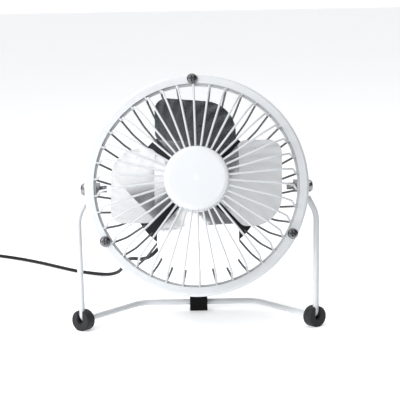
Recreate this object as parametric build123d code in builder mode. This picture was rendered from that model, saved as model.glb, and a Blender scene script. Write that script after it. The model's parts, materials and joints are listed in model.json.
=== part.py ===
from build123d import *
from math import atan2, cos, degrees, pi, radians, sin, sqrt, tan
import os

os.makedirs("parts", exist_ok=True)

# Desk fan, millimetres. +Z is up and the fan faces -Y. The origin is on the table,
# under the middle of the fan without its lead.

# ---------------------------------------------------------------- driving dimensions

# stance
PIVOT_Y = 3.6                  # tilt axis, behind the middle of the fan
PIVOT_Z = 78.0                 # tilt axis above the table
HEAD_TILT = 17.7               # degrees that the head looks up at rest

# head, as radii from the blade axis and distances along it from the tilt axis
RING_OUTER = 63.6
RING_INNER = 58.4
RING_FRONT = 12.5
RING_THICK = 1.2
RING_LIP = 2.2                 # depth of the ring's turned-back outer edge
GUARD_WIRES = 38
GUARD_PHASE = 90.9             # degrees from +X to the first wire of either guard
WIRE_DIA = 1.2
CAP_RADIUS = 18.2
CAP_FRONT = 36.8
CAP_DEPTH = 8.5
CAP_SHEET = 0.8
PLATE_RADIUS = 38.0
PLATE_FRONT = -7.5
PLATE_SHEET = 1.2
TURRET_RADIUS = 14.6
TURRET_FRONT = 5.2
COVER_RADIUS = 31.0
COVER_BACK = -31.4
COVER_WALL = 1.6

# blades
BLADE_COUNT = 4
BLADE_TIP = 48.3
BLADE_MID = 12.5               # blade plane along the head axis
BLADE_SHEET = 0.8
BLADE_PITCH = 24.0
HUB_RADIUS = 5.2

# motor
SHAFT_RADIUS = 1.0
SHAFT_FIT = 0.02               # radial clearance of the shaft in its bushes
CAN_RADIUS = 12.2
CAN_FRONT = 4.0
CAN_BACK = -12.2
CAN_WALL = 0.7

# fasteners
GUARD_SCREW_CIRCLE = 61.0
GUARD_SCREW_PHASE = 91.5
M3 = 1.5
M4 = 2.0
M2 = 1.0
LUG_INNER = 58.3               # inner face of the pivot lugs
LUG_SHEET = 1.5
EYE_MID = 62.5                 # middle of the flattened eyes of the stand wire
EYE_THICK = 2.4

# stand
STAND_WIRE_DIA = 3.4
FOOT_X = 66.3
FOOT_Y = -15.7
FOOT_WIRE_Z = 5.8
BAR_X = 34.1
BAR_Y = 30.4
BAR_WIRE_Z = 4.8
SHOULDER_X = 68.2
FOOT_RADIUS = 6.0
FOOT_LENGTH = 6.6
BLOCK_WIDTH = 10.4
BLOCK_DEPTH = 9.0
BLOCK_HEIGHT = 10.6

# lead
CORD_DIA = 2.2
CORD_SPLIT_X = -22.0           # the head's stretch of lead ends and the table's begins here
CORD_GAP = 0.2
RELIEF_AT = (-16.0, -17.0)     # strain relief on the motor cover, across and up
RELIEF_LENGTH = 11.0
COIL_CENTRE = (-168.0, 197.6)
COIL_LAYERS = 4
COIL_RINGS = 3
COIL_MID_RADIUS = 12.1

# lead's route from the strain relief to the coil, x, y, z
CORD_ROUTE = [
    (-16.0, 38.5, 49.1),
    (-16.6, 46.2, 46.3),
    (-19.2, 52.4, 40.4),
    (-23.4, 56.2, 33.0),
    (-29.0, 60.2, 26.6),
    (-35.0, 67.6, 23.4),
    (-40.2, 77.1, 22.3),
    (-44.0, 87.1, 19.8),
    (-46.4, 97.1, 15.8),
    (-48.6, 106.6, 10.2),
    (-52.0, 115.0, 5.4),
    (-58.5, 123.2, 2.2),
    (-67.6, 132.2, 1.1),
    (-80.0, 140.6, 1.1),
    (-93.3, 154.9, 1.1),
    (-107.0, 170.6, 1.1),
    (-124.0, 186.6, 1.1),
    (-142.5, 200.1, 1.1),
    (-161.2, 210.2, 1.1),
]

# ---------------------------------------------------------------- planes and helpers

tilt = radians(HEAD_TILT)
HEAD = Plane(origin=(0, PIVOT_Y, PIVOT_Z), x_dir=(1, 0, 0), z_dir=(0, -cos(tilt), sin(tilt)))
HEAD_AXIS = Axis(HEAD.origin, HEAD.z_dir)
SECTION = Plane(origin=HEAD.origin, x_dir=HEAD.x_dir, z_dir=-HEAD.y_dir)


def radial_plane(angle):
    """The plane through the head axis at this angle, x outwards and y forwards."""
    outwards = HEAD.x_dir * cos(radians(angle)) + HEAD.y_dir * sin(radians(angle))
    return Plane(origin=HEAD.origin, x_dir=outwards, z_dir=outwards.cross(HEAD.z_dir))


def turned(outline):
    """A solid turned about the head axis from its (radius, distance) outline."""
    with BuildPart() as piece:
        with BuildSketch(SECTION):
            with BuildLine():
                Polyline(*outline, close=True)
            make_face()
        revolve(axis=HEAD_AXIS)
    return piece.part


def tube(inner, outer, back, front):
    """A round tube about the head axis."""
    return turned([(inner, back), (outer, back), (outer, front), (inner, front)])


def finish(piece, label):
    """Labels a finished piece and writes it."""
    piece.part.label = label
    export_step(piece.part, f"parts/{label}.step")


def wire_guard(profile, radii, phase):
    """The guard's round wires, each bent to the profile in its own radial plane."""
    plane = radial_plane(phase)
    with BuildPart() as wire:
        with BuildLine(plane):
            FilletPolyline(*profile, radius=radii)
        start = plane.from_local_coords(Vector(*profile[0], 0))
        ahead = plane.from_local_coords(Vector(*profile[1], 0)) - start
        with BuildSketch(Plane(origin=start, z_dir=ahead)):
            Circle(WIRE_DIA / 2)
        sweep()
    return wire.part


def pan_head(radius, height):
    """Outline of half a domed screw head, from its axis outwards."""
    return [(0, 0), (radius, 0), (radius, height * 0.45), (radius * 0.72, height * 0.86), (0, height)]


def machine_screw(plane, shank, length, head_radius, head_height, cross):
    """A cross-slotted dome-head screw whose head sits on the plane and shank points back."""
    side = Plane(origin=plane.origin, x_dir=plane.x_dir, z_dir=-plane.y_dir)
    with BuildPart() as screw:
        with BuildSketch(side):
            with BuildLine():
                Polyline(*pan_head(head_radius, head_height), close=True)
            make_face()
        revolve(axis=Axis(plane.origin, plane.z_dir))
        with BuildSketch(plane):
            Circle(shank)
        extrude(amount=-length)
        with BuildSketch(plane.offset(head_height)):
            Rectangle(cross, cross * 0.24)
            Rectangle(cross * 0.24, cross)
        extrude(amount=-head_height * 0.6, mode=Mode.SUBTRACT)
    return screw.part


def hex_nut(plane, bore, across_flats, height):
    """A plain hexagon nut standing on the plane."""
    with BuildPart() as nut:
        with BuildSketch(plane):
            RegularPolygon(across_flats / 2, 6, major_radius=False, rotation=30)
            Circle(bore, mode=Mode.SUBTRACT)
        extrude(amount=height)
    return nut.part


def head_point(across, up, forward):
    """A point given in the head's own directions."""
    return HEAD.from_local_coords(Vector(across, up, forward))


def head_plane_at(across, up, forward):
    """The plane across the head axis through a point of the head, facing forwards."""
    return Plane(origin=head_point(across, up, forward), x_dir=HEAD.x_dir, z_dir=HEAD.z_dir)


def side_plane(side, distance):
    """The plane square to the tilt axis at this distance out, facing outwards."""
    middle = HEAD.origin + HEAD.x_dir * (side * distance)
    return Plane(origin=middle, x_dir=HEAD.y_dir, z_dir=HEAD.x_dir * side)


def cord_radii(points):
    """The largest bend radius that each corner's two runs allow."""
    radii = []
    for before, corner, after in zip(points, points[1:], points[2:]):
        run_in = Vector(*corner) - Vector(*before)
        run_out = Vector(*after) - Vector(*corner)
        half_turn = radians(run_in.get_angle(run_out)) / 2
        radii.append(0.45 * min(run_in.length, run_out.length) / tan(half_turn))
    return radii


# ---------------------------------------------------------------- stand

UPRIGHT_DROP = 15.5            # from the tilt axis down to the shoulder bend
NECK_DROP = 6.2
NECK_OUT = 0.9
EYE_RADIUS = 5.2
TONGUE_WIDTH = 4.6

rake = (PIVOT_Y - FOOT_Y) / (PIVOT_Z - FOOT_WIRE_Z)
neck = (EYE_MID + NECK_OUT, PIVOT_Y - NECK_DROP * rake, PIVOT_Z - NECK_DROP)
elbow = (SHOULDER_X, PIVOT_Y - UPRIGHT_DROP * rake, PIVOT_Z - UPRIGHT_DROP)
foot_corner = (FOOT_X, FOOT_Y, FOOT_WIRE_Z)
bar_corner = (BAR_X, BAR_Y, BAR_WIRE_Z)
half_route = [neck, elbow, foot_corner, bar_corner]
stand_route = half_route + [(-x, y, z) for x, y, z in reversed(half_route)]


def eye_plane(side, distance):
    """The plane square to the tilt axis whose x runs up the raked upright."""
    return Plane(origin=(side * distance, PIVOT_Y, PIVOT_Z), x_dir=(0, rake, 1), z_dir=(side, 0, 0))


with BuildPart() as stand_wire:
    with BuildLine():
        FilletPolyline(*stand_route, radius=[18.0, 3.4, 14.0, 14.0, 3.4, 18.0])
    with BuildSketch(Plane(origin=neck, z_dir=Vector(*elbow) - Vector(*neck))):
        Circle(STAND_WIRE_DIA / 2)
    sweep()
    for side in (1, -1):
        with BuildSketch(eye_plane(side, EYE_MID - EYE_THICK / 2)):
            Circle(EYE_RADIUS)
            with Locations((-NECK_DROP * 0.65, 0)):
                Rectangle(NECK_DROP * 1.3, TONGUE_WIDTH)
        extrude(amount=EYE_THICK)
        with BuildSketch(eye_plane(side, EYE_MID - EYE_THICK)):
            Circle(M4 + 0.15)
        extrude(amount=EYE_THICK * 2, mode=Mode.SUBTRACT)
finish(stand_wire, "stand_wire")


def rubber_foot(side):
    """Round rubber foot threaded on the base wire, slotted for the upright."""
    corner = Vector(side * FOOT_X, FOOT_Y, FOOT_WIRE_Z)
    along = (Vector(side * BAR_X, BAR_Y, BAR_WIRE_Z) - corner).normalized()
    face = Plane(origin=corner - along * 2.3, x_dir=(0, 0, 1), z_dir=along)
    with BuildPart() as foot:
        with BuildSketch(face):
            Circle(FOOT_RADIUS)
        extrude(amount=FOOT_LENGTH)
        chamfer(foot.edges().filter_by(GeomType.CIRCLE), length=0.5)
        with BuildSketch(face):
            with Locations((FOOT_RADIUS / 2, 0)):
                Rectangle(FOOT_RADIUS, STAND_WIRE_DIA + 0.3)
            Circle(STAND_WIRE_DIA / 2 + 0.15)
        extrude(amount=4.2, mode=Mode.SUBTRACT)
        add(stand_wire.part, mode=Mode.SUBTRACT)
        split(bisect_by=Plane.XY, keep=Keep.TOP)
    return foot.part


with BuildPart() as foot_left:
    add(rubber_foot(-1))
finish(foot_left, "foot_left")

with BuildPart() as foot_right:
    add(rubber_foot(1))
finish(foot_right, "foot_right")

with BuildPart() as rear_foot_block:
    with BuildSketch(Plane.YZ.offset(-BLOCK_WIDTH / 2)):
        with Locations((BAR_Y, BLOCK_HEIGHT / 2)):
            RectangleRounded(BLOCK_DEPTH, BLOCK_HEIGHT, 1.4)
        with Locations((BAR_Y, BAR_WIRE_Z)):
            Circle(STAND_WIRE_DIA / 2, mode=Mode.SUBTRACT)
    extrude(amount=BLOCK_WIDTH)
finish(rear_foot_block, "rear_foot_block")

# ---------------------------------------------------------------- front guard and ring

with BuildPart() as front_ring:
    with BuildSketch(SECTION):
        with BuildLine():
            Polyline(
                (RING_INNER, RING_FRONT - RING_THICK),
                (RING_OUTER - RING_THICK, RING_FRONT - RING_THICK),
                (RING_OUTER - RING_THICK, RING_FRONT - RING_LIP),
                (RING_OUTER, RING_FRONT - RING_LIP),
                (RING_OUTER, RING_FRONT - 1.3),
                (RING_OUTER - 1.3, RING_FRONT),
                (RING_INNER, RING_FRONT),
                close=True,
            )
        make_face()
    revolve(axis=HEAD_AXIS)
    with BuildSketch(HEAD.offset(RING_FRONT)):
        with PolarLocations(GUARD_SCREW_CIRCLE, 3, start_angle=GUARD_SCREW_PHASE):
            Circle(M3)
    extrude(amount=-RING_THICK * 2, mode=Mode.SUBTRACT)
finish(front_ring, "front_ring")

front_profile = [(59.4, 11.7), (56.5, 11.8), (54.0, 27.6), (46.0, 32.6), (CAP_RADIUS - 0.4, 34.6)]
first_front_wire = wire_guard(front_profile, [1.6, 4.5, 16.0], GUARD_PHASE)

with BuildPart() as front_guard_wires:
    for count in range(GUARD_WIRES):
        add(first_front_wire.rotate(HEAD_AXIS, count * 360 / GUARD_WIRES))
finish(front_guard_wires, "front_guard_wires")

with BuildPart() as front_cap:
    with BuildSketch(SECTION):
        with BuildLine():
            Polyline(
                (0, CAP_FRONT),
                (CAP_RADIUS - 2.4, CAP_FRONT - 0.1),
                (CAP_RADIUS - 0.7, CAP_FRONT - 0.7),
                (CAP_RADIUS, CAP_FRONT - 2.4),
                (CAP_RADIUS, CAP_FRONT - CAP_DEPTH),
                (CAP_RADIUS - CAP_SHEET, CAP_FRONT - CAP_DEPTH),
                (CAP_RADIUS - CAP_SHEET, CAP_FRONT - 2.4),
                (CAP_RADIUS - 2.4, CAP_FRONT - CAP_SHEET),
                (0, CAP_FRONT - CAP_SHEET),
                close=True,
            )
        make_face()
    revolve(axis=HEAD_AXIS)
finish(front_cap, "front_cap")

# ---------------------------------------------------------------- rear guard and lugs

REAR_RING_FRONT = RING_FRONT - RING_THICK
REAR_RING_THICK = 1.0
REAR_RING_INNER = 57.9
LUG_WIDTH = 11.0

with BuildPart() as rear_ring:
    with BuildSketch(HEAD.offset(REAR_RING_FRONT - REAR_RING_THICK)):
        Circle(RING_OUTER - RING_THICK - 0.1)
        Circle(REAR_RING_INNER, mode=Mode.SUBTRACT)
        with PolarLocations(GUARD_SCREW_CIRCLE, 3, start_angle=GUARD_SCREW_PHASE):
            Circle(M3, mode=Mode.SUBTRACT)
    extrude(amount=REAR_RING_THICK)
    for side in (1, -1):
        with BuildSketch(side_plane(side, LUG_INNER)):
            with Locations((0, side * (REAR_RING_FRONT - REAR_RING_THICK) / 2)):
                Rectangle(LUG_WIDTH, REAR_RING_FRONT - REAR_RING_THICK)
            Circle(LUG_WIDTH / 2)
            Circle(M4 + 0.05, mode=Mode.SUBTRACT)
        extrude(amount=LUG_SHEET)
finish(rear_ring, "rear_ring")

RIM_RADIUS = 57.7
RIM_DIA = 1.4
RIM_MID = 10.4

with BuildPart() as rear_guard_rim:
    with BuildSketch(SECTION):
        with Locations((RIM_RADIUS, RIM_MID)):
            Circle(RIM_DIA / 2)
    revolve(axis=HEAD_AXIS)
finish(rear_guard_rim, "rear_guard_rim")

rear_profile = [(RIM_RADIUS, RIM_MID), (48.6, -6.6), (PLATE_RADIUS - 2.0, PLATE_FRONT - 0.5)]
first_rear_wire = wire_guard(rear_profile, [6.0], GUARD_PHASE)

with BuildPart() as rear_guard_wires:
    for count in range(GUARD_WIRES):
        add(first_rear_wire.rotate(HEAD_AXIS, count * 360 / GUARD_WIRES))
finish(rear_guard_wires, "rear_guard_wires")

COVER_SCREWS = 3
COVER_SCREW_CIRCLE = 26.4
COVER_SCREW_PHASE = 90.0
MOTOR_SCREW_CIRCLE = 8.0
BOSS_RADIUS = 4.2

with BuildPart() as rear_plate:
    add(turned([
        (BOSS_RADIUS, TURRET_FRONT - PLATE_SHEET),
        (TURRET_RADIUS - PLATE_SHEET, TURRET_FRONT - PLATE_SHEET),
        (TURRET_RADIUS - PLATE_SHEET, PLATE_FRONT - PLATE_SHEET),
        (PLATE_RADIUS, PLATE_FRONT - PLATE_SHEET),
        (PLATE_RADIUS, PLATE_FRONT),
        (TURRET_RADIUS, PLATE_FRONT),
        (TURRET_RADIUS, TURRET_FRONT - 0.8),
        (TURRET_RADIUS - 0.8, TURRET_FRONT),
        (BOSS_RADIUS, TURRET_FRONT),
    ]))
    with BuildSketch(HEAD.offset(TURRET_FRONT)):
        with PolarLocations(MOTOR_SCREW_CIRCLE, 2, start_angle=90):
            Circle(M2 + 0.1)
    extrude(amount=-PLATE_SHEET, mode=Mode.SUBTRACT)
    with BuildSketch(HEAD.offset(PLATE_FRONT)):
        with PolarLocations(COVER_SCREW_CIRCLE, COVER_SCREWS, start_angle=COVER_SCREW_PHASE):
            Circle(M2 + 0.25)
    extrude(amount=-PLATE_SHEET, mode=Mode.SUBTRACT)
finish(rear_plate, "rear_plate")

# ---------------------------------------------------------------- motor cover and switch

SWITCH_AT = (0.0, 9.0)
SWITCH_OPENING = (8.6, 13.6)
cover_front = PLATE_FRONT - PLATE_SHEET

with BuildPart() as motor_cover:
    add(turned([
        (0, COVER_BACK),
        (COVER_RADIUS - 4.5, COVER_BACK),
        (COVER_RADIUS - 1.2, COVER_BACK + 1.2),
        (COVER_RADIUS, COVER_BACK + 4.5),
        (COVER_RADIUS, cover_front),
        (COVER_RADIUS - COVER_WALL, cover_front),
        (COVER_RADIUS - COVER_WALL, COVER_BACK + 5.0),
        (COVER_RADIUS - 5.0, COVER_BACK + COVER_WALL),
        (0, COVER_BACK + COVER_WALL),
    ]))
    with BuildSketch(HEAD.offset(COVER_BACK + COVER_WALL)):
        with PolarLocations(COVER_SCREW_CIRCLE - 0.4, COVER_SCREWS, start_angle=COVER_SCREW_PHASE):
            Circle(2.6)
    extrude(amount=cover_front - COVER_BACK - COVER_WALL)
    with BuildSketch(HEAD.offset(cover_front)):
        with PolarLocations(COVER_SCREW_CIRCLE, COVER_SCREWS, start_angle=COVER_SCREW_PHASE):
            Circle(M2)
    extrude(amount=-7.0, mode=Mode.SUBTRACT)
    with BuildSketch(HEAD.offset(COVER_BACK)):
        with Locations(SWITCH_AT):
            Rectangle(*SWITCH_OPENING)
        with Locations(RELIEF_AT):
            Circle(2.0)
        for row in range(5):
            with Locations((0, -8.0 - 3.2 * row)):
                SlotOverall(18.0 - 2.0 * row, 1.5)
    extrude(amount=COVER_WALL, mode=Mode.SUBTRACT)
finish(motor_cover, "motor_cover")

with BuildPart() as cover_screws:
    for count in range(COVER_SCREWS):
        angle = radians(COVER_SCREW_PHASE + count * 360 / COVER_SCREWS)
        seat = head_plane_at(COVER_SCREW_CIRCLE * cos(angle), COVER_SCREW_CIRCLE * sin(angle), PLATE_FRONT)
        add(machine_screw(seat, M2, 7.0, 2.0, 1.3, 2.0))
finish(cover_screws, "cover_screws")

ROCKER_PIVOT = COVER_BACK + 1.2
ROCKER_TILT = 7.0
ROCKER_GAP = 0.3

with BuildPart() as switch_body:
    with BuildSketch(HEAD.offset(COVER_BACK - 1.2)):
        with Locations(SWITCH_AT):
            RectangleRounded(SWITCH_OPENING[0] + 2.0, SWITCH_OPENING[1] + 2.0, 0.9)
    extrude(amount=1.2)
    with BuildSketch(HEAD.offset(COVER_BACK)):
        with Locations(SWITCH_AT):
            Rectangle(*SWITCH_OPENING)
    extrude(amount=9.5)
    with BuildSketch(HEAD.offset(COVER_BACK - 1.2)):
        with Locations(SWITCH_AT):
            Rectangle(SWITCH_OPENING[0] - 2.2, SWITCH_OPENING[1] - 2.2)
    extrude(amount=7.6, mode=Mode.SUBTRACT)
    switch_axis = Plane(
        origin=head_point(SWITCH_AT[0], SWITCH_AT[1], ROCKER_PIVOT), x_dir=HEAD.y_dir, z_dir=HEAD.x_dir
    )
    with BuildSketch(switch_axis.offset(-SWITCH_OPENING[0] / 2)):
        Circle(0.82)
    extrude(amount=SWITCH_OPENING[0], mode=Mode.SUBTRACT)
finish(switch_body, "switch_body")

rocker_tilt = radians(ROCKER_TILT)
rocker_plane = Plane(
    origin=switch_axis.origin,
    x_dir=HEAD.y_dir * cos(rocker_tilt) - HEAD.z_dir * sin(rocker_tilt),
    z_dir=HEAD.x_dir,
)
rocker_width = SWITCH_OPENING[0] - 2.2 - 2 * ROCKER_GAP
rocker_half = (SWITCH_OPENING[1] - 2.2) / 2 - ROCKER_GAP - 0.35

with BuildPart() as switch_rocker:
    with BuildSketch(rocker_plane.offset(-rocker_width / 2)):
        with BuildLine():
            Polyline(
                (-rocker_half, -2.9),
                (0, -2.7),
                (rocker_half, -2.9),
                (rocker_half, 1.2),
                (1.3, 2.6),
                (-1.3, 2.6),
                (-rocker_half, 1.2),
                close=True,
            )
        make_face()
    extrude(amount=rocker_width)
    with BuildSketch(switch_axis.offset(-SWITCH_OPENING[0] / 2 + 0.35)):
        Circle(0.75)
    extrude(amount=SWITCH_OPENING[0] - 0.7)
finish(switch_rocker, "switch_rocker")

with BuildPart() as switch_terminals:
    with BuildSketch(HEAD.offset(COVER_BACK + 9.5)):
        with Locations((SWITCH_AT[0], SWITCH_AT[1] - 3.5), (SWITCH_AT[0], SWITCH_AT[1] + 3.5)):
            Rectangle(2.8, 0.5)
    extrude(amount=4.5)
finish(switch_terminals, "switch_terminals")

# ---------------------------------------------------------------- guard and pivot fasteners

NUT_HEIGHT_M3 = 2.4

with BuildPart() as guard_screws:
    for count in range(3):
        angle = radians(GUARD_SCREW_PHASE + count * 120)
        seat = head_plane_at(GUARD_SCREW_CIRCLE * cos(angle), GUARD_SCREW_CIRCLE * sin(angle), RING_FRONT)
        add(machine_screw(seat, M3, 7.0, 3.0, 2.0, 3.4))
finish(guard_screws, "guard_screws")

with BuildPart() as guard_nuts:
    for count in range(3):
        angle = radians(GUARD_SCREW_PHASE + count * 120)
        seat = head_plane_at(
            GUARD_SCREW_CIRCLE * cos(angle),
            GUARD_SCREW_CIRCLE * sin(angle),
            REAR_RING_FRONT - REAR_RING_THICK - NUT_HEIGHT_M3,
        )
        outwards = HEAD.x_dir * cos(angle) + HEAD.y_dir * sin(angle)
        seat = Plane(origin=seat.origin, x_dir=outwards, z_dir=HEAD.z_dir)
        add(hex_nut(seat, M3, 5.0, NUT_HEIGHT_M3))
finish(guard_nuts, "guard_nuts")

WASHER_GAP = 0.05
lug_outer = LUG_INNER + LUG_SHEET
eye_inner = EYE_MID - EYE_THICK / 2
eye_outer = EYE_MID + EYE_THICK / 2
head_seat = eye_outer + WASHER_GAP

with BuildPart() as pivot_screws:
    for side in (1, -1):
        add(machine_screw(side_plane(side, head_seat), M4, head_seat - 51.5, 3.6, 3.0, 4.0))
finish(pivot_screws, "pivot_screws")

with BuildPart() as pivot_washers:
    for side in (1, -1):
        with BuildSketch(side_plane(side, lug_outer)):
            Circle(4.4)
            Circle(M4, mode=Mode.SUBTRACT)
        extrude(amount=eye_inner - lug_outer - WASHER_GAP)
finish(pivot_washers, "pivot_washers")

with BuildPart() as pivot_nuts:
    for side in (1, -1):
        add(hex_nut(side_plane(side, LUG_INNER - 3.0), M4, 7.0, 3.0))
finish(pivot_nuts, "pivot_nuts")

# ---------------------------------------------------------------- motor

BUSH_RADIUS = 3.0
TERMINAL_CIRCLE = 7.5
TERMINAL_SHEET = 0.8
TERMINAL_WIDTH = 2.6
bore = SHAFT_RADIUS + SHAFT_FIT

with BuildPart() as motor_can:
    add(turned([
        (BUSH_RADIUS, CAN_FRONT),
        (CAN_RADIUS, CAN_FRONT),
        (CAN_RADIUS, CAN_BACK),
        (CAN_RADIUS - CAN_WALL, CAN_BACK),
        (CAN_RADIUS - CAN_WALL, CAN_FRONT - CAN_WALL),
        (BUSH_RADIUS, CAN_FRONT - CAN_WALL),
    ]))
    with BuildSketch(HEAD.offset(CAN_FRONT)):
        with PolarLocations(MOTOR_SCREW_CIRCLE, 2, start_angle=90):
            Circle(M2)
    extrude(amount=-CAN_WALL, mode=Mode.SUBTRACT)
finish(motor_can, "motor_can")

with BuildPart() as motor_end_cap:
    add(tube(BUSH_RADIUS, CAN_RADIUS, CAN_BACK - 2.2, CAN_BACK))
    add(tube(BUSH_RADIUS, BUSH_RADIUS + 1.4, CAN_BACK - 3.4, CAN_BACK - 2.2))
    with BuildSketch(HEAD.offset(CAN_BACK - 2.2)):
        with PolarLocations(TERMINAL_CIRCLE, 2):
            Rectangle(TERMINAL_SHEET, TERMINAL_WIDTH)
    extrude(amount=2.2, mode=Mode.SUBTRACT)
finish(motor_end_cap, "motor_end_cap")

with BuildPart() as front_bush:
    add(tube(bore, BUSH_RADIUS, CAN_FRONT - 2.6, CAN_FRONT + 1.0))
finish(front_bush, "front_bush")

with BuildPart() as rear_bush:
    add(tube(bore, BUSH_RADIUS, CAN_BACK - 3.4, CAN_BACK))
finish(rear_bush, "rear_bush")

MAGNET_INNER = 10.0
MAGNET_SPAN = 130.0
MAGNET_BACK = -8.8
MAGNET_FRONT = 1.6
magnet_outer = CAN_RADIUS - CAN_WALL

with BuildPart() as motor_magnets:
    for middle in (90, 270):
        with BuildSketch(radial_plane(middle - MAGNET_SPAN / 2)):
            with Locations(((MAGNET_INNER + magnet_outer) / 2, (MAGNET_BACK + MAGNET_FRONT) / 2)):
                Rectangle(magnet_outer - MAGNET_INNER, MAGNET_FRONT - MAGNET_BACK)
        revolve(axis=HEAD_AXIS, revolution_arc=MAGNET_SPAN)
finish(motor_magnets, "motor_magnets")

COMMUTATOR_RADIUS = 2.8
COMMUTATOR_BACK = CAN_BACK + 0.3
COMMUTATOR_FRONT = -9.4
BRUSH_GAP = 0.1
brush_inner = COMMUTATOR_RADIUS + BRUSH_GAP
brush_outer = TERMINAL_CIRCLE - TERMINAL_SHEET / 2

with BuildPart() as motor_brushes:
    with BuildSketch(HEAD.offset(CAN_BACK + 0.6)):
        with PolarLocations((brush_inner + brush_outer) / 2, 2):
            Rectangle(brush_outer - brush_inner, 1.6)
    extrude(amount=1.2)
finish(motor_brushes, "motor_brushes")

with BuildPart() as motor_terminals:
    with BuildSketch(HEAD.offset(CAN_BACK - 6.2)):
        with PolarLocations(TERMINAL_CIRCLE, 2):
            Rectangle(TERMINAL_SHEET, TERMINAL_WIDTH)
    extrude(amount=8.2)
finish(motor_terminals, "motor_terminals")

with BuildPart() as motor_screws:
    for side in (1, -1):
        seat = head_plane_at(0, side * MOTOR_SCREW_CIRCLE, TURRET_FRONT)
        add(machine_screw(seat, M2, 2.2, 1.9, 1.2, 1.8))
finish(motor_screws, "motor_screws")

# ---------------------------------------------------------------- rotor

CORE_RADIUS = 9.5
CORE_BACK = -8.3
CORE_FRONT = 1.0
POLES = 3
ARM_WIDTH = 2.4
SHOE_SHEET = 1.3
hub_back = 8.2
SHAFT_FRONT = 17.6

with BuildPart() as motor_shaft:
    with BuildSketch(HEAD.offset(CAN_BACK - 3.2)):
        Circle(SHAFT_RADIUS)
    extrude(amount=SHAFT_FRONT - CAN_BACK + 3.2)
    chamfer(motor_shaft.edges().filter_by(GeomType.CIRCLE), length=0.2)
finish(motor_shaft, "motor_shaft")

with BuildPart() as armature_core:
    with BuildSketch(HEAD.offset(CORE_BACK)):
        Circle(CORE_RADIUS)
        Circle(CORE_RADIUS - SHOE_SHEET, mode=Mode.SUBTRACT)
        with PolarLocations(CORE_RADIUS, POLES, start_angle=60):
            Rectangle(6.0, 3.2, mode=Mode.SUBTRACT)
        Circle(4.0)
        with PolarLocations((CORE_RADIUS - SHOE_SHEET / 2) / 2, POLES):
            Rectangle(CORE_RADIUS - SHOE_SHEET / 2, ARM_WIDTH)
        Circle(SHAFT_RADIUS, mode=Mode.SUBTRACT)
    extrude(amount=CORE_FRONT - CORE_BACK)
finish(armature_core, "armature_core")

WINDING_INNER = 4.3
WINDING_OUTER = 7.9
WINDING_OVERHANG = 1.1
WINDING_WIDTH = 5.6

with BuildPart() as armature_windings:
    with BuildSketch(HEAD.offset(CORE_BACK - WINDING_OVERHANG)):
        with PolarLocations((WINDING_INNER + WINDING_OUTER) / 2, POLES):
            RectangleRounded(WINDING_OUTER - WINDING_INNER, WINDING_WIDTH, 0.8)
    extrude(amount=CORE_FRONT - CORE_BACK + 2 * WINDING_OVERHANG)
    with BuildSketch(HEAD.offset(CORE_BACK)):
        with PolarLocations((WINDING_INNER + WINDING_OUTER) / 2, POLES):
            Rectangle(WINDING_OUTER - WINDING_INNER + 1.0, ARM_WIDTH)
    extrude(amount=CORE_FRONT - CORE_BACK, mode=Mode.SUBTRACT)
finish(armature_windings, "armature_windings")

with BuildPart() as commutator:
    add(tube(SHAFT_RADIUS, COMMUTATOR_RADIUS, COMMUTATOR_BACK, COMMUTATOR_FRONT))
    with BuildSketch(HEAD.offset(COMMUTATOR_BACK)):
        with PolarLocations(COMMUTATOR_RADIUS, POLES, start_angle=60):
            Rectangle(1.0, 0.4)
    extrude(amount=COMMUTATOR_FRONT - COMMUTATOR_BACK, mode=Mode.SUBTRACT)
finish(commutator, "commutator")

with BuildPart() as blade_hub:
    add(tube(SHAFT_RADIUS, HUB_RADIUS, BLADE_MID - BLADE_SHEET / 2 - 2.2, BLADE_MID - BLADE_SHEET / 2))
    add(tube(SHAFT_RADIUS, HUB_RADIUS - 2.2, hub_back, BLADE_MID - BLADE_SHEET / 2 - 2.2))
finish(blade_hub, "blade_hub")

with BuildPart() as blade_clamp:
    add(tube(SHAFT_RADIUS, HUB_RADIUS, BLADE_MID + BLADE_SHEET / 2, BLADE_MID + BLADE_SHEET / 2 + 1.6))
    add(tube(
        SHAFT_RADIUS,
        HUB_RADIUS - 2.6,
        BLADE_MID + BLADE_SHEET / 2 + 1.6,
        BLADE_MID + BLADE_SHEET / 2 + 4.0,
    ))
finish(blade_clamp, "blade_clamp")

BLADE_HALF_WIDTH = 23.0
BLADE_WAIST = 26.0
BLADE_ROOT = 5.0
BLADE_ROOT_HALF = 5.5
BLADE_BLANK = 64.0
TIP_ROUND_LEADING = 7.5
TIP_ROUND_TRAILING = 16.5
BLADE_STATIONS = [(BLADE_ROOT, 4.0), (12.0, 12.0), (24.0, BLADE_PITCH), (BLADE_TIP + 2.0, BLADE_PITCH)]


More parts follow.
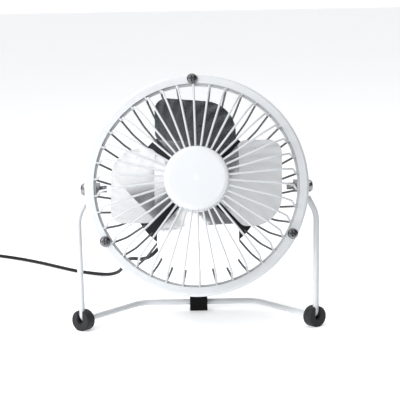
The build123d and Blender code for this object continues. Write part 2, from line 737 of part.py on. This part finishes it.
def twisted_blade():
    """One paddle, twisted from nearly flat at the hub to its full pitch, then trimmed."""
    across = HEAD.y_dir
    round_way = -HEAD.x_dir
    with BuildPart() as blank:
        for radius, pitch in BLADE_STATIONS:
            middle = HEAD.origin + HEAD.z_dir * BLADE_MID + across * radius
            chord = round_way * cos(radians(pitch)) + HEAD.z_dir * sin(radians(pitch))
            with BuildSketch(Plane(origin=middle, x_dir=chord, z_dir=across)):
                Rectangle(BLADE_BLANK, BLADE_SHEET)
        loft(ruled=True)
        with BuildSketch(HEAD.offset(BLADE_MID - 20)):
            with BuildLine():
                FilletPolyline(
                    (BLADE_ROOT_HALF, BLADE_ROOT + 0.5),
                    (BLADE_ROOT_HALF, BLADE_ROOT + 3.0),
                    (BLADE_HALF_WIDTH, BLADE_WAIST),
                    (BLADE_HALF_WIDTH, BLADE_TIP),
                    (-BLADE_HALF_WIDTH, BLADE_TIP),
                    (-BLADE_HALF_WIDTH, BLADE_WAIST),
                    (-BLADE_ROOT_HALF, BLADE_ROOT + 3.0),
                    (-BLADE_ROOT_HALF, BLADE_ROOT + 0.5),
                    radius=[1.0, 5.0, TIP_ROUND_TRAILING, TIP_ROUND_LEADING, 5.0, 1.0],
                )
                Line((-BLADE_ROOT_HALF, BLADE_ROOT + 0.5), (BLADE_ROOT_HALF, BLADE_ROOT + 0.5))
            make_face()
        extrude(amount=40, mode=Mode.INTERSECT)
    return blank.part


first_blade = twisted_blade()

with BuildPart() as fan_blades:
    with BuildSketch(HEAD.offset(BLADE_MID - BLADE_SHEET / 2)):
        Circle(8.6)
        Circle(SHAFT_RADIUS, mode=Mode.SUBTRACT)
    extrude(amount=BLADE_SHEET)
    for count in range(BLADE_COUNT):
        add(first_blade.rotate(HEAD_AXIS, count * 360 / BLADE_COUNT))
finish(fan_blades, "fan_blades")

# ---------------------------------------------------------------- leads inside the cover

LEAD_RADIUS = 0.55


def inner_lead(points, bend):
    """A thin insulated wire through points given in the head's directions."""
    route = [head_point(*point) for point in points]
    with BuildPart() as lead:
        with BuildLine():
            FilletPolyline(*route, radius=bend)
        with BuildSketch(Plane(origin=route[0], z_dir=route[1] - route[0])):
            Circle(LEAD_RADIUS)
        sweep()
    return lead.part


relief_inside = COVER_BACK + COVER_WALL + 1.4
lead_start = relief_inside + 0.6

with BuildPart() as lead_to_switch:
    add(inner_lead([
        (-15.2, -16.2, lead_start),
        (-13.0, -13.0, -24.5),
        (-7.0, -2.0, -18.6),
        (-0.4, 4.6, -17.9),
    ], 2.5))
finish(lead_to_switch, "lead_to_switch")

with BuildPart() as lead_switch_to_motor:
    add(inner_lead([
        (0.6, 13.4, -18.4),
        (5.0, 17.0, -17.6),
        (13.5, 11.0, -17.0),
        (8.8, 1.6, -17.4),
    ], 2.5))
finish(lead_switch_to_motor, "lead_switch_to_motor")

with BuildPart() as lead_return:
    add(inner_lead([
        (-16.9, -17.7, lead_start),
        (-19.0, -16.0, -23.0),
        (-16.0, -5.0, -18.6),
        (-8.8, 0.0, -17.6),
    ], 2.5))
finish(lead_return, "lead_return")

# ---------------------------------------------------------------- lead outside the cover

with BuildPart() as strain_relief:
    for radius, back, front in (
        (2.6, COVER_BACK + COVER_WALL, relief_inside),
        (2.0, COVER_BACK, COVER_BACK + COVER_WALL),
        (3.2, COVER_BACK - 1.4, COVER_BACK),
    ):
        with BuildSketch(HEAD.offset(back)):
            with Locations(RELIEF_AT):
                Circle(radius)
        extrude(amount=front - back)
    with BuildSketch(HEAD.offset(COVER_BACK - RELIEF_LENGTH)):
        with Locations(RELIEF_AT):
            Circle(1.5)
    with BuildSketch(HEAD.offset(COVER_BACK - 1.4)):
        with Locations(RELIEF_AT):
            Circle(2.4)
    loft()
finish(strain_relief, "strain_relief")

corner_radii = cord_radii(CORD_ROUTE)
print("lead radii, mm:", [round(radius, 1) for radius in corner_radii])

with BuildPart() as whole_lead:
    with BuildLine() as lead_line:
        FilletPolyline(*CORD_ROUTE, radius=corner_radii)
    first_run = Vector(*CORD_ROUTE[1]) - Vector(*CORD_ROUTE[0])
    with BuildSketch(Plane(origin=CORD_ROUTE[0], z_dir=first_run)):
        Circle(CORD_DIA / 2)
    sweep()
lead_length = sum(edge.length for edge in lead_line.edges())
expected = lead_length * pi * (CORD_DIA / 2) ** 2
print("lead length, mm:", round(lead_length, 1))
print("lead volume over expected:", round(whole_lead.part.volume / expected, 4))

with BuildPart() as cable_stub:
    add(whole_lead.part)
    split(bisect_by=Plane.YZ.offset(CORD_SPLIT_X + CORD_GAP / 2), keep=Keep.TOP)
finish(cable_stub, "cable_stub")

with BuildPart() as cable_run:
    add(whole_lead.part)
    split(bisect_by=Plane.YZ.offset(CORD_SPLIT_X - CORD_GAP / 2), keep=Keep.BOTTOM)
finish(cable_run, "cable_run")

coil_half_width = COIL_RINGS * CORD_DIA / 2
coil_height = COIL_LAYERS * CORD_DIA
coil_turns = COIL_LAYERS * COIL_RINGS
print("coiled length, mm:", round(coil_turns * 2 * pi * COIL_MID_RADIUS))

with BuildPart() as cable_coil:
    with BuildSketch(Plane.XY):
        with Locations(COIL_CENTRE):
            Circle(COIL_MID_RADIUS + coil_half_width)
            Circle(COIL_MID_RADIUS - coil_half_width, mode=Mode.SUBTRACT)
    extrude(amount=coil_height)
    chamfer(cable_coil.edges().filter_by(GeomType.CIRCLE), length=0.6)
finish(cable_coil, "cable_coil")

PLUG_X = COIL_CENTRE[0] - COIL_MID_RADIUS - coil_half_width + CORD_DIA / 2
PLUG_MIDDLE_Z = 3.75
PLUG_BACK_Y = 181.6
GRIP_LENGTH = 22.0
GRIP_WIDTH = 14.0
GRIP_HEIGHT = 7.5
SHELL_LENGTH = 12.0
SHELL_WIDTH = 12.0
SHELL_HEIGHT = 4.5
SHELL_SHEET = 0.3
grip_front = PLUG_BACK_Y - 2.0 - GRIP_LENGTH
tail_start = Vector(PLUG_X, COIL_CENTRE[1], coil_height - CORD_DIA / 2)
tail_end = Vector(PLUG_X, PLUG_BACK_Y, PLUG_MIDDLE_Z)

with BuildPart() as cable_tail:
    with BuildLine():
        Line(tail_start, tail_end)
    with BuildSketch(Plane(origin=tail_start, z_dir=tail_end - tail_start)):
        Circle(CORD_DIA / 2)
    sweep()
finish(cable_tail, "cable_tail")


def plug_plane(y):
    """The plane across the plug at this Y, facing its contacts."""
    return Plane(origin=(PLUG_X, y, PLUG_MIDDLE_Z), x_dir=(1, 0, 0), z_dir=(0, -1, 0))


with BuildPart() as usb_plug_grip:
    with BuildSketch(plug_plane(PLUG_BACK_Y - 2.0)):
        RectangleRounded(GRIP_WIDTH, GRIP_HEIGHT, 2.4)
    extrude(amount=GRIP_LENGTH)
    with BuildSketch(plug_plane(PLUG_BACK_Y)):
        Circle(2.2)
    extrude(amount=2.0)
finish(usb_plug_grip, "usb_plug_grip")

with BuildPart() as usb_plug_shell:
    with BuildSketch(plug_plane(grip_front)):
        RectangleRounded(SHELL_WIDTH, SHELL_HEIGHT, 0.6)
        RectangleRounded(
            SHELL_WIDTH - 2 * SHELL_SHEET, SHELL_HEIGHT - 2 * SHELL_SHEET, 0.3, mode=Mode.SUBTRACT
        )
    extrude(amount=SHELL_LENGTH)
    with BuildSketch(Plane.XY.offset(PLUG_MIDDLE_Z + SHELL_HEIGHT / 2 + 0.1)):
        with Locations((PLUG_X - 2.8, grip_front - 6.0), (PLUG_X + 2.8, grip_front - 6.0)):
            Rectangle(2.2, 2.2)
    extrude(amount=-1.0, mode=Mode.SUBTRACT)
finish(usb_plug_shell, "usb_plug_shell")

with BuildPart() as usb_plug_tongue:
    with BuildSketch(plug_plane(grip_front)):
        with Locations((0, -SHELL_HEIGHT / 2 + SHELL_SHEET + 0.9)):
            Rectangle(SHELL_WIDTH - 2 * SHELL_SHEET - 0.5, 1.7)
    extrude(amount=SHELL_LENGTH - 0.6)
finish(usb_plug_tongue, "usb_plug_tongue")
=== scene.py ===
import json
import math

import bpy
from mathutils import Matrix, Vector


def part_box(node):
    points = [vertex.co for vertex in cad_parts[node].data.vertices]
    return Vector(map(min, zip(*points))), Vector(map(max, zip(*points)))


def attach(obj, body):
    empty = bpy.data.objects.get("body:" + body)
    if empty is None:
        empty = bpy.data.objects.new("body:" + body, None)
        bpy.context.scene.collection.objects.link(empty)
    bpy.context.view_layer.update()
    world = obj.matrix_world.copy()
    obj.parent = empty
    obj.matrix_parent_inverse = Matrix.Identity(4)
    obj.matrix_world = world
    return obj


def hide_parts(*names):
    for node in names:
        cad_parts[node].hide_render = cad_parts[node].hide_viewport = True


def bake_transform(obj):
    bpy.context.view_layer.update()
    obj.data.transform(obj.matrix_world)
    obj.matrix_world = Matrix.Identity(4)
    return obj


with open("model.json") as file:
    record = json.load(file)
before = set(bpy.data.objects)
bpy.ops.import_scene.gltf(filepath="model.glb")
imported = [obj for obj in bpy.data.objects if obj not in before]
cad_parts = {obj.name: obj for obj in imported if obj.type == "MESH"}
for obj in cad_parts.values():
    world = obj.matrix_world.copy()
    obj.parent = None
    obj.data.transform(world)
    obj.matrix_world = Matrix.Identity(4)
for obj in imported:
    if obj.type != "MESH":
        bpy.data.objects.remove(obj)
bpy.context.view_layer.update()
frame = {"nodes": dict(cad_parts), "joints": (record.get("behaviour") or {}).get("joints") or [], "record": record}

MM = 0.001
joints = {joint["name"]: joint for joint in frame["joints"]}
node_slots = {part["node"]: part["material_slot"] for part in frame["record"]["subparts"]}
pivot = Vector(joints["blade_spin"]["pos_m"])
facing = Vector(joints["blade_spin"]["axis"]).normalized()
across = Vector((1, 0, 0))
head_up = facing.cross(across)

# ---------------------------------------------------------------- camera

CAMERA_RISE = math.radians(9.0)
CAMERA_DISTANCE = 0.9
CAMERA_LENS = 141.3
CAMERA_ROLL = math.radians(-1.0)
CAMERA_SHIFT_X = 0.0082
CAMERA_SHIFT_Y = -0.0312

camera_data = bpy.data.cameras.new("camera")
camera_data.lens = CAMERA_LENS
camera_data.sensor_width = 36.0
camera_data.shift_x = CAMERA_SHIFT_X
camera_data.shift_y = CAMERA_SHIFT_Y
camera = bpy.data.objects.new("camera", camera_data)
camera.location = pivot + CAMERA_DISTANCE * Vector((0, -math.cos(CAMERA_RISE), math.sin(CAMERA_RISE)))
looking = Matrix.Rotation(math.pi / 2 - CAMERA_RISE, 3, "X") @ Matrix.Rotation(CAMERA_ROLL, 3, "Z")
camera.rotation_euler = looking.to_euler()
bpy.context.scene.collection.objects.link(camera)
bpy.context.scene.camera = camera

# ---------------------------------------------------------------- shapes


def add_mesh(name, vertices, faces, smooth=True):
    """A new mesh object from its points and faces."""
    mesh = bpy.data.meshes.new(name)
    mesh.from_pydata([tuple(v) for v in vertices], [], faces)
    mesh.update()
    if smooth:
        mesh.shade_smooth()
    piece = bpy.data.objects.new(name, mesh)
    bpy.context.scene.collection.objects.link(piece)
    return piece


def curve_points(points):
    """The smooth line that a NURBS spline draws through these control points."""
    curve = bpy.data.curves.new("route", "CURVE")
    curve.dimensions = "3D"
    spline = curve.splines.new("NURBS")
    spline.points.add(len(points) - 1)
    for control, place in zip(spline.points, points):
        control.co = (*place, 1)
    spline.order_u = 3
    spline.use_endpoint_u = True
    carrier = bpy.data.objects.new("route", curve)
    line_mesh = bpy.data.meshes.new_from_object(carrier)
    line = [vertex.co.copy() for vertex in line_mesh.vertices]
    bpy.data.meshes.remove(line_mesh)
    bpy.data.objects.remove(carrier)
    bpy.data.curves.remove(curve)
    return line


def tube_along(name, line, radius, sides=16):
    """A closed round tube whose rings are centred on the points of the line."""
    vertices, faces = [], []
    direction = (line[1] - line[0]).normalized()
    side = direction.orthogonal().normalized()
    for index, place in enumerate(line):
        before, after = line[max(index - 1, 0)], line[min(index + 1, len(line) - 1)]
        new_direction = (after - before).normalized()
        side = direction.rotation_difference(new_direction) @ side
        direction = new_direction
        side = (side - side.project(direction)).normalized()
        other = direction.cross(side)
        for step in range(sides):
            angle = 2 * math.pi * step / sides
            vertices.append(place + radius * (math.cos(angle) * side + math.sin(angle) * other))
    for ring in range(len(line) - 1):
        for step in range(sides):
            following = (step + 1) % sides
            low, high = ring * sides, (ring + 1) * sides
            faces.append((low + step, low + following, high + following, high + step))
    faces.append(tuple(reversed(range(sides))))
    faces.append(tuple(range(len(vertices) - sides, len(vertices))))
    return add_mesh(name, vertices, faces)


def lathe(name, outline, base, axis, sides=40):
    """A solid turned about an axis from (distance along it, radius) points, closed at both ends."""
    axis = Vector(axis).normalized()
    side = axis.orthogonal().normalized()
    other = axis.cross(side)
    vertices, faces = [], []
    for distance, radius in outline:
        for step in range(sides):
            angle = 2 * math.pi * step / sides
            outwards = math.cos(angle) * side + math.sin(angle) * other
            vertices.append(base + axis * distance + outwards * radius)
    for ring in range(len(outline) - 1):
        for step in range(sides):
            following = (step + 1) % sides
            low, high = ring * sides, (ring + 1) * sides
            faces.append((low + step, low + following, high + following, high + step))
    faces.append(tuple(reversed(range(sides))))
    faces.append(tuple(range(len(vertices) - sides, len(vertices))))
    return add_mesh(name, vertices, faces)


def head_place(right, up, forward):
    """A point from its millimetres in the head's own directions."""
    return pivot + MM * (right * across + up * head_up + forward * facing)


# ---------------------------------------------------------------- lead

CORD_DIAMETER = 2.2 * MM
CORD_ROUTE = [
    (-16.0, 38.5, 49.1),
    (-16.6, 46.2, 46.3),
    (-19.2, 52.4, 40.4),
    (-23.4, 56.2, 33.0),
    (-29.0, 60.2, 26.6),
    (-35.0, 67.6, 23.4),
    (-40.2, 77.1, 22.3),
    (-44.0, 87.1, 19.8),
    (-46.4, 97.1, 15.8),
    (-48.6, 106.6, 10.2),
    (-52.0, 115.0, 5.4),
    (-58.5, 123.2, 2.2),
    (-67.6, 132.2, 1.1),
    (-80.0, 140.6, 1.1),
    (-93.3, 154.9, 1.1),
    (-107.0, 170.6, 1.1),
    (-124.0, 186.6, 1.1),
    (-142.5, 200.1, 1.1),
    (-161.2, 210.2, 1.1),
]
COIL_CENTRE = Vector((-168.0, 197.6, 0.0)) * MM
COIL_LAYERS = 4
COIL_RINGS = 3
COIL_OUTER = 14.3 * MM
COIL_START = math.radians(61.7)
COIL_BULGE = 0.9 * MM
POINTS_PER_TURN = 16
TAIL_OFFSETS = ((-0.5, 7.0, 2.0), (0, 2.5, 0), (0, 0, 0))


def coil_route():
    """Control points of the coiled lead: in and out across its layers, and off at the left."""
    inner = COIL_OUTER - (COIL_RINGS - 1) * CORD_DIAMETER
    last_angle = math.pi - COIL_START
    points = []
    for layer in range(COIL_LAYERS):
        inwards = layer % 2 == 0
        last = layer == COIL_LAYERS - 1
        turns = COIL_RINGS - 1 + last_angle / (2 * math.pi) if last else COIL_RINGS
        for step in range(round(turns * POINTS_PER_TURN)):
            turn = step / POINTS_PER_TURN
            moved = CORD_DIAMETER * (turn if last else min(turn, COIL_RINGS - 1))
            rise = 0 if last else max(turn - (COIL_RINGS - 1), 0)
            bulge = COIL_BULGE * math.sin(math.pi * rise)
            radius = COIL_OUTER - moved - bulge if inwards else inner + moved + bulge
            angle = COIL_START + 2 * math.pi * turn
            height = CORD_DIAMETER * (layer + 0.5 + rise * rise * (3 - 2 * rise))
            place = Vector((radius * math.cos(angle), radius * math.sin(angle), height))
            points.append(COIL_CENTRE + place)
    return points


grip_low, grip_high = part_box("usb_plug_grip")
plug_middle = (grip_low + grip_high) / 2
plug_back = Vector((plug_middle.x, grip_high.y, plug_middle.z))
tail_route = [plug_back + Vector(offset) * MM for offset in TAIL_OFFSETS]

route = [Vector(point) * MM for point in CORD_ROUTE]
lead_line = curve_points(route + coil_route()[1:] + tail_route)
lead = tube_along("lead", lead_line, CORD_DIAMETER / 2)
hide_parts("cable_stub", "cable_run", "cable_coil", "cable_tail")
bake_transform(lead)

RELIEF_AT = (-16.0, -17.0)
RELIEF_BASE = -31.4
RELIEF_COLLAR = 1.4
RELIEF_LENGTH = 11.0
RELIEF_RIBS = 6
RELIEF_FOOT = ((-3.0, 2.6), (-1.6, 2.6), (-1.6, 2.0), (0.0, 2.0), (0.0, 3.0), (0.2, 3.2))
RELIEF_RIB_STEPS = ((0.05, 0.45), (0.3, 0.45), (0.36, 0.08), (0.45, 0.0), (0.85, 0.0), (0.95, 0.08))


def relief_outline():
    """The strain relief's (distance behind the cover, radius) points: a collar, then a ribbed taper."""
    outline = list(RELIEF_FOOT)
    outline += [(RELIEF_COLLAR - 0.2, 3.2), (RELIEF_COLLAR, 3.0)]
    pitch = (RELIEF_LENGTH - RELIEF_COLLAR) / RELIEF_RIBS
    for rib in range(RELIEF_RIBS):
        start = RELIEF_COLLAR + rib * pitch
        crest = 2.4 - 0.8 * (rib + 0.5) / RELIEF_RIBS
        for share, drop in RELIEF_RIB_STEPS:
            outline.append((start + share * pitch, crest - drop))
    outline.append((RELIEF_LENGTH, 1.3))
    return [(distance * MM, radius * MM) for distance, radius in outline]


relief = lathe("strain_relief_ribbed", relief_outline(), head_place(*RELIEF_AT, RELIEF_BASE), -facing)
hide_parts("strain_relief")
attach(relief, "head")

# ---------------------------------------------------------------- materials


def noise(tree, coordinates, scale, detail=2.0, stretch=(1, 1, 1)):
    """A noise texture's value, with its coordinates stretched."""
    mapping = tree.nodes.new("ShaderNodeMapping")
    mapping.inputs["Scale"].default_value = stretch
    texture = tree.nodes.new("ShaderNodeTexNoise")
    texture.inputs["Scale"].default_value = scale
    texture.inputs["Detail"].default_value = detail
    tree.links.new(coordinates, mapping.inputs["Vector"])
    tree.links.new(mapping.outputs["Vector"], texture.inputs["Vector"])
    return texture.outputs["Fac"]


def spread(tree, value, low, high):
    """A value of about 0.3 to 0.7 spread over a range."""
    ranged = tree.nodes.new("ShaderNodeMapRange")
    ranged.inputs["From Min"].default_value = 0.3
    ranged.inputs["From Max"].default_value = 0.7
    ranged.inputs["To Min"].default_value = low
    ranged.inputs["To Max"].default_value = high
    tree.links.new(value, ranged.inputs["Value"])
    return ranged.outputs["Result"]


def surface(
    name,
    colour,
    roughness,
    metallic=0.0,
    mottle=0.04,
    mottle_scale=60.0,
    swing=0.05,
    grain_scale=900.0,
    grain_depth=0.02,
    stretch=(1, 1, 1),
    **sockets,
):
    """A surface with gentle changes of colour and gloss and a fine grain, its depth in millimetres."""
    material = bpy.data.materials.new(name)
    material.use_nodes = True
    tree = material.node_tree
    shader = tree.nodes["Principled BSDF"]
    coordinates = tree.nodes.new("ShaderNodeTexCoord").outputs["Object"]
    shader.inputs["Metallic"].default_value = metallic
    for socket, value in sockets.items():
        shader.inputs[socket.replace("_", " ")].default_value = value

    mix = tree.nodes.new("ShaderNodeMix")
    mix.data_type = "RGBA"
    mix.inputs["A"].default_value = (*[channel * (1 - mottle) for channel in colour], 1)
    mix.inputs["B"].default_value = (*[min(channel * (1 + mottle), 1) for channel in colour], 1)
    tones = spread(tree, noise(tree, coordinates, mottle_scale, 4.0, stretch), 0, 1)
    tree.links.new(tones, mix.inputs["Factor"])
    tree.links.new(mix.outputs["Result"], shader.inputs["Base Color"])

    gloss = noise(tree, coordinates, mottle_scale * 2.3, 3.0, stretch)
    rough = spread(tree, gloss, max(roughness - swing, 0.02), roughness + swing)
    tree.links.new(rough, shader.inputs["Roughness"])

    bump = tree.nodes.new("ShaderNodeBump")
    bump.inputs["Strength"].default_value = 1.0
    bump.inputs["Distance"].default_value = grain_depth * MM
    tree.links.new(noise(tree, coordinates, grain_scale, 2.0, stretch), bump.inputs["Height"])
    tree.links.new(bump.outputs["Normal"], shader.inputs["Normal"])
    return material


WHITE = (0.735, 0.755, 0.775)
BLACK = (0.018, 0.018, 0.02)
PAINT_GRAIN = {"grain_scale": 1400, "grain_depth": 0.008}
materials = {
    "white_paint": surface("white_paint", WHITE, 0.34, mottle=0.015, **PAINT_GRAIN),
    "grey_paint": surface("grey_paint", (0.16, 0.165, 0.17), 0.45, **PAINT_GRAIN),
    "black_paint": surface("black_paint", BLACK, 0.42, **PAINT_GRAIN),
    "cover_black": surface("cover_black", (0.022, 0.022, 0.024), 0.55, grain_scale=2400, grain_depth=0.03),
    "rocker_black": surface("rocker_black", BLACK, 0.24, grain_depth=0.003),
    "blade_aluminium": surface(
        "blade_aluminium",
        (0.5, 0.505, 0.51),
        0.25,
        1.0,
        mottle=0.02,
        mottle_scale=22,
        swing=0.02,
        grain_depth=0.0015,
    ),
    "plated_steel": surface("plated_steel", (0.34, 0.34, 0.35), 0.26, 1.0, mottle=0.08, grain_depth=0.006),
    "shaft_steel": surface("shaft_steel", (0.5, 0.51, 0.53), 0.32, 1.0, grain_depth=0.006),
    "rubber_black": surface(
        "rubber_black", (0.02, 0.02, 0.022), 0.65, mottle=0.12, grain_scale=1800, Specular_IOR_Level=0.35
    ),
    "cable_black": surface(
        "cable_black",
        (0.008, 0.008, 0.009),
        0.5,
        mottle=0.1,
        grain_scale=1500,
        grain_depth=0.012,
        Specular_IOR_Level=0.3,
    ),
    "plug_black": surface("plug_black", (0.022, 0.022, 0.024), 0.45, grain_scale=2000),
    "tongue_white": surface("tongue_white", (0.8, 0.8, 0.78), 0.4, grain_depth=0.005),
    "nylon_black": surface("nylon_black", (0.03, 0.03, 0.03), 0.4, grain_depth=0.008),
    "end_cap_nylon": surface("end_cap_nylon", (0.7, 0.69, 0.65), 0.45, grain_depth=0.01),
    "brass": surface("brass", (0.78, 0.58, 0.28), 0.28, 1.0, mottle=0.06, grain_depth=0.006),
    "copper": surface("copper", (0.72, 0.36, 0.2), 0.3, 1.0, mottle=0.08, grain_depth=0.006),
    "magnet": surface("magnet", (0.05, 0.05, 0.055), 0.6, mottle=0.15, grain_scale=1600),
    "lead_red": surface("lead_red", (0.5, 0.02, 0.02), 0.35, grain_depth=0.005),
    "lead_black": surface("lead_black", (0.02, 0.02, 0.02), 0.35, grain_depth=0.005),
}

# Nodes whose tone differs a little from their slot's. The screws and the rear foot block have their own tone; the
# front guard wires carry painted shade, and the rear ring and guard rim carry painted light.
node_tones_and_painted_light = {
    # Painted shade: the guard wires wear the ring's white paint, darkened to stand in for the shade they sit in.
    "front_guard_wires": surface("wire_white_painted_shade", (0.62, 0.64, 0.66), 0.34, mottle=0.015, **PAINT_GRAIN),
    "guard_screws": surface("screw_steel", (0.24, 0.24, 0.25), 0.2, 1.0, mottle=0.1, grain_depth=0.006),
    # Painted light: the rear ring and the guard rim are lighter copies of the grey guard paint, standing in for
    # the light that falls on them.
    "rear_ring": surface("ring_grey_painted_light", (0.5, 0.51, 0.52), 0.42, **PAINT_GRAIN),
    "rear_guard_rim": surface("rim_grey_painted_light", (0.55, 0.56, 0.57), 0.42, **PAINT_GRAIN),
    "rear_foot_block": surface(
        "block_black", (0.004, 0.004, 0.0045), 0.6, mottle=0.12, grain_scale=1800, Specular_IOR_Level=0.12
    ),
}

for piece, slot_name in ((lead, "cable_black"), (relief, "rubber_black")):
    piece.data.materials.append(materials[slot_name])

# ---------------------------------------------------------------- finish of the CAD nodes

BEVELS_MM = {
    "front_ring": 0.35,
    "front_cap": 0.2,
    "fan_blades": 0.25,
    "rear_foot_block": 0.5,
    "foot_left": 0.5,
    "foot_right": 0.5,
    "rear_ring": 0.25,
    "rear_plate": 0.3,
    "motor_cover": 0.3,
    "switch_body": 0.25,
    "switch_rocker": 0.25,
    "usb_plug_grip": 0.6,
    "guard_screws": 0.12,
    "pivot_screws": 0.15,
    "cover_screws": 0.1,
    "motor_screws": 0.1,
    "guard_nuts": 0.15,
    "pivot_nuts": 0.2,
    "pivot_washers": 0.15,
    "blade_hub": 0.2,
    "blade_clamp": 0.2,
    "motor_can": 0.3,
    "motor_end_cap": 0.2,
}
WELD_GAP = 0.002 * MM
SHARP_ANGLE = math.radians(35)
BEVEL_SEGMENTS = 2

for node_name, node in frame["nodes"].items():
    node.data.materials.clear()
    node.data.materials.append(node_tones_and_painted_light.get(node_name, materials[node_slots[node_name]]))
    if node.hide_render:
        continue
    weld = node.modifiers.new("weld", "WELD")
    weld.merge_threshold = WELD_GAP
    if node_name in BEVELS_MM:
        bevel = node.modifiers.new("bevel", "BEVEL")
        bevel.width = BEVELS_MM[node_name] * MM
        bevel.segments = BEVEL_SEGMENTS
        bevel.limit_method = "ANGLE"
        bevel.angle_limit = SHARP_ANGLE
        bevel.harden_normals = True

# ---------------------------------------------------------------- floor, world and lights


def plane(name, size_x, size_y, place, rotation=(0, 0, 0)):
    """A flat card that isn't part of the object."""
    x, y = size_x / 2, size_y / 2
    card = add_mesh(name, [(-x, -y, 0), (x, -y, 0), (x, y, 0), (-x, y, 0)], [(0, 1, 2, 3)], smooth=False)
    card.location = place
    card.rotation_euler = rotation
    return card


FLOOR_SIZE = 8.0
FLOOR_TONE = (0.93, 0.94, 0.95)
FLOOR_GLOW = 0.36

floor = plane("floor", FLOOR_SIZE, FLOOR_SIZE, (0, 0, 0))
floor_finish = surface(
    "floor",
    FLOOR_TONE,
    0.7,
    mottle=0.004,
    mottle_scale=3,
    grain_depth=0.01,
    Emission_Color=(1, 1, 1, 1),
    Emission_Strength=FLOOR_GLOW,
)
floor.data.materials.append(floor_finish)

# The world stands for a studio: light before and behind, darker at the sides, with one dark
# patch at the right front, which the top blade reflects.
DARK_SIDE = Vector((0.67, -0.6, 0.44)).normalized()
DARK_OUTER = math.radians(62)
DARK_INNER = math.radians(36)
DARK_TONE = (0.03, 0.032, 0.036, 1)
LIGHT_TONE = (1.0, 1.0, 1.0, 1)
SIDE_TONE = (0.26, 0.27, 0.29, 1)
SIDE_FROM = 0.15
SIDE_TO = 0.75
WORLD_STRENGTH = 1.2

world = bpy.data.worlds.new("world")
bpy.context.scene.world = world
world.use_nodes = True
sky = world.node_tree
background = sky.nodes["Background"]
direction_node = sky.nodes.new("ShaderNodeTexCoord").outputs["Generated"]
facing_dark = sky.nodes.new("ShaderNodeVectorMath")
facing_dark.operation = "DOT_PRODUCT"
facing_dark.inputs[1].default_value = DARK_SIDE
dark_share = sky.nodes.new("ShaderNodeMapRange")
dark_share.interpolation_type = "SMOOTHSTEP"
dark_share.inputs["From Min"].default_value = math.cos(DARK_OUTER)
dark_share.inputs["From Max"].default_value = math.cos(DARK_INNER)
sky_tone = sky.nodes.new("ShaderNodeMix")
sky_tone.data_type = "RGBA"
sky_tone.inputs["A"].default_value = LIGHT_TONE
sky_tone.inputs["B"].default_value = DARK_TONE
axes = sky.nodes.new("ShaderNodeSeparateXYZ")
depth_share = sky.nodes.new("ShaderNodeMath")
depth_share.operation = "ABSOLUTE"
side_share = sky.nodes.new("ShaderNodeMapRange")
side_share.interpolation_type = "SMOOTHSTEP"
side_share.inputs["From Min"].default_value = SIDE_FROM
side_share.inputs["From Max"].default_value = SIDE_TO
side_share.inputs["To Min"].default_value = 1.0
side_share.inputs["To Max"].default_value = 0.0
side_tone = sky.nodes.new("ShaderNodeMix")
side_tone.data_type = "RGBA"
side_tone.blend_type = "MULTIPLY"
side_tone.inputs["B"].default_value = SIDE_TONE
sky.links.new(direction_node, axes.inputs["Vector"])
sky.links.new(axes.outputs["Y"], depth_share.inputs[0])
sky.links.new(depth_share.outputs["Value"], side_share.inputs["Value"])
sky.links.new(side_share.outputs["Result"], side_tone.inputs["Factor"])
background.inputs["Strength"].default_value = WORLD_STRENGTH
sky.links.new(direction_node, facing_dark.inputs[0])
sky.links.new(facing_dark.outputs["Value"], dark_share.inputs["Value"])
sky.links.new(dark_share.outputs["Result"], sky_tone.inputs["Factor"])
sky.links.new(sky_tone.outputs["Result"], side_tone.inputs["A"])
sky.links.new(side_tone.outputs["Result"], background.inputs["Color"])


def area_light(name, place, target, size, power):
    """A soft square lamp aimed at a point."""
    lamp = bpy.data.lights.new(name, "AREA")
    lamp.size = size
    lamp.energy = power
    holder = bpy.data.objects.new(name, lamp)
    holder.location = place
    holder.rotation_euler = (Vector(target) - Vector(place)).to_track_quat("-Z", "Y").to_euler()
    bpy.context.scene.collection.objects.link(holder)


LIGHTS = (
    ("key", (-0.52, -0.42, 0.38), 0.45, 3.0),
    ("top", (-0.1, -0.2, 1.15), 1.0, 6.0),
)
for light_name, place, size, power in LIGHTS:
    area_light(light_name, place, pivot, size, power)

bpy.context.scene.view_settings.view_transform = "Standard"
